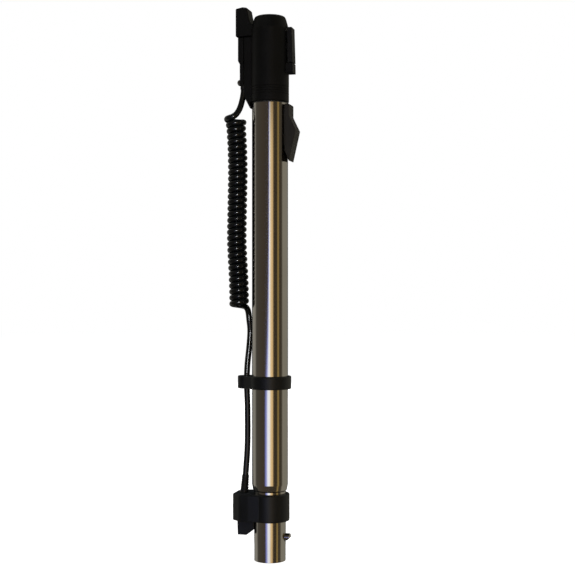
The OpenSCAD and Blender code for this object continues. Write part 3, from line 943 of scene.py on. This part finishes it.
def make_lock_base():
    saddle = lathe("lock_base_shell", rounded([
        (MAIN_R + 0.05, 406), (SADDLE_R, 406), (SADDLE_R, 450.8), (MAIN_R + 0.05, 450.8),
    ], [0.05, 0.4, 0.4, 0.05]))
    plan = [(-3.1, 405.5), (3.1, 405.5), (7.6, 414.5), (7.6, 455), (-7.6, 455), (-7.6, 414.5)]
    combine(saddle, "INTERSECT", [prism("keep", plan, 1, 25, "x")])
    # an odd count of sides and a small offset keep the cutters' points off the saddle's own edges
    for z in (410, 433):
        cut(saddle, side_hole(MAIN_R - 1, MAIN_R + 3, 0.02, z, 1.6, 23))
    nose_r, lug_y, lug_half = 2.6, 5.4, 1
    angles = [math.radians(-75 + 15 * k) for k in range(11)]
    nose = [(PIVOT_X + nose_r * math.cos(a), PIVOT_Z + nose_r * math.sin(a)) for a in angles]
    for side in (-1, 1):
        lug = moulding(
            "lug", [(MAIN_R - 3, PIVOT_Z - 5), *nose, (MAIN_R - 3, PIVOT_Z + 5)],
            side * lug_y - lug_half, side * lug_y + lug_half, edge=0.2,
        )
        cut(lug, upright_rod("main_tube", 400, 460, MAIN_R + 0.3, sides=96))
        weld(saddle, lug)
    cut(
        saddle,
        cross_rod(PIVOT_X, PIVOT_Z, 1.3, -10, 10, 32),
        pawl_window(MAIN_R - 2, SADDLE_R + 1),
    )
    fit(smooth(saddle), "outer_wand", "lock_base")


def make_lever_spring():
    coil = spring_line(2.25, -3, 3, 7, start=math.pi)
    line = [Vector((PIVOT_X + p.x, p.z, PIVOT_Z + p.y)) for p in coil]
    # one leg lies on the saddle, and the other reaches into the lever
    first, last, wire_r, leg_z = line[0], line[-1], 0.42, PIVOT_Z - 11
    on_saddle = [first, (PIVOT_X - 2.15, first.y, PIVOT_Z - 2), (MAIN_R + 1.9, first.y, leg_z)]
    in_lever = [last, (PIVOT_X - 1.8, last.y, PIVOT_Z - 3), (PIVOT_X - 0.7, last.y, leg_z)]
    legs = [wire("leg", leg, wire_r) for leg in (on_saddle, in_lever)]
    wires = [tube_along("turns", line, wire_r, 10), *legs]
    fit(smooth(join("lever_spring_wire", *wires)), "outer_wand", "lever_spring")


def make_pawl():
    pawl = moulding("lock_pawl_body", [
        (15.3, PAWL_Z - 1.4), (15.3, PAWL_Z + 1.6), (16.2, PAWL_Z + 2.5), (20.3, PAWL_Z + 2.5),
        (20.3, PAWL_Z - 2.5), (16.4, PAWL_Z - 2.5),
    ], -2.8, 2.8, edge=0.25)
    fit(smooth(pawl), "lock_rocker", "lock_pawl")


make_lever()
make_lock_base()
make_lever_spring()
make_pawl()

# -------- nozzle end

COLLAR_LOW, COLLAR_HIGH = 40.0, 67.0
SCREW_Y, SCREW_Z = 5.4, 53.5
RELIEF_LOW, RELIEF_HIGH = Vector((-27.2, 0, 60)), Vector((-25.4, 0, 84))


def pocket_plan(inset):
    """The collar's pocket seen from above, drawn in by the inset."""
    half = [(-6, 18.5 - inset), (-18, 18.3 - inset), (-27, 17 - inset), (-36 + inset, 10 - inset * 0.55)]
    return half + [(x, -y) for x, y in reversed(half)]


def make_collar():
    bore = NOZZLE_R + 0.1
    ring = lathe("connector_collar_shell", rounded([
        (bore, COLLAR_LOW), (19.6, COLLAR_LOW), (19.6, COLLAR_HIGH), (bore, COLLAR_HIGH),
    ], [0.2, 1.3, 1.3, 0.3], 5))
    corners = [0, 8, 8, 3, 3, 8, 8, 0]
    pocket = moulding("pocket", pocket_plan(0), COLLAR_LOW, COLLAR_HIGH, "z", 1.3, corners)
    cut(pocket, upright_rod("bore", 30, 80, bore + 1))
    weld(ring, pocket)
    wall, boss_y, boss_half = 2, 8, 4.6
    plan = rounded(pocket_plan(wall), [0, 7, 7, 2, 2, 7, 7, 0])
    hollow = prism("hollow", plan, COLLAR_LOW + wall, COLLAR_HIGH - wall, "z")
    cut(hollow, upright_rod("inner_wall", 30, 80, bore + 2.4, sides=96))
    for side in (-1, 1):
        low, high = side * boss_y - boss_half, side * boss_y + boss_half
        cut(hollow, brick("boss", (-34, low, SCREW_Z - 2.5), (-28.5, high, SCREW_Z + 2.5)))
    cut(
        ring, hollow,
        brick("floor_opening", (-30.2, -7.6, COLLAR_LOW - 1), (-19.4, 7.6, COLLAR_LOW + 3)),
        rod("roof_opening", RELIEF_LOW, RELIEF_HIGH, 4.7, sides=48),
        brick("cover_opening", (-37, -8.2, COLLAR_LOW + 2.5), (-33, 8.2, COLLAR_HIGH - 2.5)),
    )
    cover = box_moulding("collar_cover_plate", (-36, -8.1, 42.6), (-34.1, 8.1, 64.4), 0.4)
    for y in (-SCREW_Y, SCREW_Y):
        cut(ring, side_hole(-35, -29.5, y, SCREW_Z, 1.25))
        cut(cover, side_hole(-37, -33, y, SCREW_Z, 1.3))
    fit(smooth(ring), "outer_wand", "connector_collar")
    fit(smooth(cover), "outer_wand", "collar_cover")

    profile = [(1.2, -6.3), (1.2, 0), (2.35, 0.02), (2.4, 0.3), (2.1, 0.62), (1.3, 0.8), (0.2, 0.84)]
    screws = [
        screw("screw", (-36.05, side * SCREW_Y, SCREW_Z), (-1, 0, 0), profile, 1.15) for side in (-1, 1)
    ]
    fit(smooth(join("collar_screw_pair", *screws)), "outer_wand", "collar_screws")


def make_socket():
    low = 25.5
    block = moulding("socket_block_shell", [
        (-31.7, 39.9), (-31.2, low), (-22, low), (-14.2, 31.8), (-14, 39.9),
    ], -9, 9, edge=0.8)
    cut(block, upright_rod("bore", low - 1, low + 15.5, NOZZLE_R + 0.4, sides=96))
    weld(block, brick("neck", (-30, -7.4, 39.5), (-19.6, 7.4, 47)))
    for side in (-1, 1):
        cut(block, upright_rod("hole", low - 1, 50, 2.3, x=PIN_X, y=side * PIN_Y, sides=40))
    fit(smooth(block), "outer_wand", "socket_block")

    tubes = []
    for side in (-1, 1):
        tube = lathe("contact", rounded([(1.75, 28), (2.25, 28), (2.25, 46), (1.75, 46)], 0.15, 3), 40)
        slit = brick("slit", (-0.2, 0, 27), (0.2, 3, 36))
        tubes.append(stand(cut(tube, slit), (PIN_X, side * PIN_Y, 0), (0, 0, 1)))
    fit(smooth(join("socket_contact_pair", *tubes)), "outer_wand", "socket_contacts")

    leads = [wire("lead", [
        (-27.6, side * 1.2, 52.5), (-27.4, side * 1.9, 50.5), (-26.8, side * 3.2, 48.2),
        (PIN_X, side * 3.7, 46.4),
    ], 0.8) for side in (-1, 1)]
    fit(join("lower_lead_pair", *leads), "outer_wand", "lower_leads")


def make_lower_relief():
    length = (RELIEF_HIGH - RELIEF_LOW).length
    sleeve(
        "lower_relief_sleeve", RELIEF_LOW, RELIEF_HIGH - RELIEF_LOW,
        [(0, 5.7), (2, 5.7), (2.02, 4.4), *ribbed(8.4, length, 4.15, 3.5, depth=0.3)], CORD_R + 0.12,
        "outer_wand", "lower_strain_relief",
    )


def make_stud():
    stud_r = 3.6
    profile = rounded([(0, 0), (stud_r, 0), (stud_r, 7.1), (0, 7.1)], [0, 0.3, 1.1, 0], 6)
    stud = stand(lathe("lock_button_stud", profile, 64), (13.95, 0, BUTTON_Z), (1, 0, 0))
    cut(stud, prism("slope", [(22, BUTTON_Z - 4), (22, BUTTON_Z + 0.6), (17.2, BUTTON_Z - 4)], -5, 5))
    fit(smooth(stud, 30), "nozzle_stud", "lock_button")


def make_clip():
    low, high = 171.3, 184.2
    bore = MAIN_R + 0.05
    band = lathe("cord_clip_shell", rounded([
        (bore, low), (21.3, low), (21.3, high), (bore, high),
    ], [0.3, 1.2, 1.2, 0.3], 5))
    ear = moulding("ear", [(-8, 19.4), (-25.6, 8.0), (-25.6, -8.0), (-8, -19.4)], low, high, "z", 1.1)
    eye_x, eye_r, sides = -25, 8.2, 48
    turns = [2 * math.pi * k / sides for k in range(sides)]
    plan = [(eye_x + eye_r * math.cos(turn), eye_r * math.sin(turn)) for turn in turns]
    weld(ear, moulding("eye", plan, low, high, "z", 1.1))
    cut(ear, upright_rod("bore", low - 5, high + 5, bore + 1))
    weld(band, ear)
    cut(band, upright_rod("cord_hole", low - 1, high + 1, CORD_R + 0.3, x=-24, sides=sides))
    fit(smooth(band), "outer_wand", "cord_clip")


make_collar()
make_socket()
make_lower_relief()
make_stud()
make_clip()

# -------- stage


def emitter(name, strength=None):
    """A material that only glows."""
    mat = bpy.data.materials.new(name)
    mat.use_nodes = True
    tree = mat.node_tree
    tree.nodes.remove(tree.nodes["Principled BSDF"])
    glow = tree.nodes.new("ShaderNodeEmission")
    if strength is not None:
        glow.inputs["Strength"].default_value = strength
    tree.links.new(glow.outputs["Emission"], tree.nodes["Material Output"].inputs["Surface"])
    return mat, tree, glow


# What the chrome mirrors, by azimuth from the camera's side, in degrees rightwards
WALL_BANDS = [
    (-180, (0.02, 0.02, 0.02)), (-152, (0.02, 0.02, 0.02)), (-142, (0.34, 0.33, 0.29)),
    (-110, (0.32, 0.30, 0.26)), (-96, (0.085, 0.076, 0.062)), (-40, (0.072, 0.056, 0.040)),
    (-28, (0.066, 0.054, 0.042)), (24, (0.062, 0.048, 0.030)), (46, (0.055, 0.042, 0.026)),
    (51, (0.37, 0.25, 0.08)), (58, (0.37, 0.25, 0.08)), (62, (0.065, 0.050, 0.030)),
    (80, (0.075, 0.064, 0.046)), (90, (0.31, 0.285, 0.225)), (150, (0.27, 0.255, 0.21)),
    (158, (0.03, 0.03, 0.03)), (180, (0.02, 0.02, 0.02)),
]
# The bright window in front: its cool part narrows with height, its warm part doesn't
COOL_BANDS = [
    (-180, (0, 0, 0)), (-34, (0, 0, 0)), (-28, (0.20, 0.24, 0.72)), (-19, (0.55, 0.62, 1.15)),
    (-14, (1.25, 1.30, 1.45)), (-2, (1.25, 1.28, 1.35)), (1, (0, 0, 0)), (180, (0, 0, 0)),
]
WARM_BANDS = [
    (-180, (0, 0, 0)), (-2, (0, 0, 0)), (1, (1.20, 1.10, 0.92)), (5, (1.12, 0.86, 0.52)),
    (9, (1.02, 0.72, 0.35)), (17, (0.92, 0.62, 0.28)), (21, (0.30, 0.20, 0.09)), (25, (0, 0, 0)),
    (180, (0, 0, 0)),
]


def band_colours(tree, share, bands):
    node = tree.nodes.new("ShaderNodeValToRGB")
    ramp = node.color_ramp
    for i, (azimuth, colour) in enumerate(bands):
        at = 0.5 + azimuth / 360
        stop = ramp.elements[i] if i < 2 else ramp.elements.new(at)
        stop.position = at
        stop.color = (*colour, 1)
    tree.links.new(share, node.inputs["Fac"])
    return node.outputs["Color"]


def between_heights(tree, height, fade_in, fade_out):
    """1 between two heights, fading to 0 over the two pairs."""
    rise = spread(tree, height, 0, 1, *fade_in)
    fall = spread(tree, height, 1, 0, *fade_out)
    return calculate(tree, "MULTIPLY", rise, fall)


def add_colours(tree, base, extra, share):
    node = tree.nodes.new("ShaderNodeMix")
    node.data_type = "RGBA"
    node.blend_type = "ADD"
    node.clamp_result = False
    tree.links.new(share, node.inputs["Factor"])
    tree.links.new(base, node.inputs["A"])
    tree.links.new(extra, node.inputs["B"])
    return node.outputs["Result"]


def make_wall():
    """A tall round studio wall that only shows in reflections."""
    radius, low, high, sides = 3.2, -5.0, 6.0, 96  # in metres
    points = []
    for k in range(sides):
        turn = 2 * math.pi * k / sides
        x, y = radius * math.cos(turn) / MM, radius * math.sin(turn) / MM
        points += [(x, y, low / MM), (x, y, high / MM)]
    count = 2 * sides
    faces = [(i, i + 1, (i + 3) % count, (i + 2) % count) for i in range(0, count, 2)]
    wall = new_mesh("studio_wall", points, faces)
    mat, tree, glow = emitter("studio_wall")
    coords = tree.nodes.new("ShaderNodeTexCoord")
    turned = tree.nodes.new("ShaderNodeVectorRotate")
    turned.rotation_type = "Z_AXIS"
    # the camera's side comes to the middle of the radial gradient
    turned.inputs["Angle"].default_value = math.radians(90) - VIEW_TURN
    tree.links.new(coords.outputs["Object"], turned.inputs["Vector"])
    radial = tree.nodes.new("ShaderNodeTexGradient")
    radial.gradient_type = "RADIAL"
    tree.links.new(turned.outputs["Vector"], radial.inputs["Vector"])
    around = radial.outputs["Fac"]
    apart = tree.nodes.new("ShaderNodeSeparateXYZ")
    tree.links.new(coords.outputs["Object"], apart.inputs["Vector"])
    height = apart.outputs["Z"]
    colour = band_colours(tree, around, WALL_BANDS)
    window = between_heights(tree, height, (-1.1, -0.8), (0.80, 1.08))
    # the angle from the middle grows with height, so the cool band closes in on it
    off_middle = calculate(tree, "SUBTRACT", around, 0.5)
    narrowed = calculate(tree, "MULTIPLY_ADD", off_middle, spread(tree, height, 1, 4.2, -0.1, 0.6), 0.5)
    colour = add_colours(tree, colour, band_colours(tree, narrowed, COOL_BANDS), window)
    colour = add_colours(tree, colour, band_colours(tree, around, WARM_BANDS), window)
    tree.links.new(colour, glow.inputs["Color"])
    wall.data.materials.append(mat)
    wall.visible_camera = False
    wall.visible_diffuse = False
    wall.visible_shadow = False


def make_background():
    """A pale room that only the camera sees, and a pale floor that takes the shadow."""
    radius, sides, rings, floor_half = 6.0, 64, 24, 5900  # the radius in metres
    points = []
    for i in range(rings + 1):
        tilt = math.pi * (i / rings - 0.5)
        for k in range(sides):
            turn = 2 * math.pi * k / sides
            r = radius * math.cos(tilt) / MM
            points.append((r * math.cos(turn), r * math.sin(turn), radius * math.sin(tilt) / MM))
    room = new_mesh("pale_room", points, ring_faces(rings, sides))
    mat, _, glow = emitter("pale_room", 1.0)
    glow.inputs["Color"].default_value = (1, 1, 1, 1)
    room.data.materials.append(mat)
    for ray in ("diffuse", "glossy", "transmission", "shadow", "volume_scatter"):
        setattr(room, "visible_" + ray, False)

    floor = brick("pale_floor", (-floor_half, -floor_half, -20), (floor_half, floor_half, 0))
    mat, tree, shader = material("pale_floor")
    shader.inputs["Base Color"].default_value = (0.92, 0.92, 0.915, 1)
    vary_sheen(tree, shader, noise(tree, place(tree), 6), 0.75, 0.85)
    shader.inputs["Emission Color"].default_value = (1, 1, 1, 1)
    shader.inputs["Emission Strength"].default_value = 0.96
    floor.data.materials.append(mat)
    floor.visible_glossy = False
    floor.visible_diffuse = False


def area_light(name, azimuth, distance, height, size, power, colour, mirrored=False):
    """A light placed by azimuth from the camera's side, in metres and watts."""
    data = bpy.data.lights.new(name, "AREA")
    data.shape = "RECTANGLE"
    data.size, data.size_y = size
    data.energy = power
    data.color = colour
    light = add_object(name, data)
    turn = math.radians(azimuth)
    flat = TOWARDS_CAMERA * math.cos(turn) + RIGHTWARDS * math.sin(turn)
    light.location = flat * distance + Vector((0, 0, height))
    aim = Vector((0, 0, 0.28)) - light.location
    light.rotation_euler = aim.to_track_quat("-Z", "Y").to_euler()
    light.visible_glossy = mirrored
    light.visible_diffuse = not mirrored
    return light


def make_lights():
    world = bpy.data.worlds.new("world")
    scene.world = world
    world.use_nodes = True
    back = world.node_tree.nodes["Background"]
    back.inputs["Color"].default_value = (0.80, 0.82, 0.86, 1)
    back.inputs["Strength"].default_value = 0.05
    area_light("key_light", -30, 2.0, 1.6, (1.2, 1.2), 8.5, (1.0, 0.97, 0.93))
    area_light("fill_light", 45, 2.2, 0.8, (1.0, 1.4), 5, (0.95, 0.97, 1.0))
    area_light("top_light", 180, 0.8, 2.4, (1.6, 1.6), 12, (1, 1, 1))
    area_light("rear_light", 165, 1.9, 0.9, (1.2, 1.6), 16, (1.0, 0.98, 0.95))
    area_light("rear_fill", -120, 1.9, 0.7, (1.2, 1.6), 7, (0.96, 0.98, 1.0))
    # a small flash beside the lens, for the cord only, puts one bright dot on each turn of the coil
    flash = area_light("flash_light", -3, 1.3, 0.36, (0.20, 0.30), 5.5, (0.92, 0.96, 1.0), mirrored=True)
    lit = bpy.data.collections.new("lit_by_flash")
    lit.objects.link(bpy.data.objects["power_cord"])
    flash.light_linking.receiver_collection = lit


# a filmic curve would let the bright background eat into the outlines
scene.view_settings.view_transform = "Standard"
make_wall()
make_background()
make_lights()
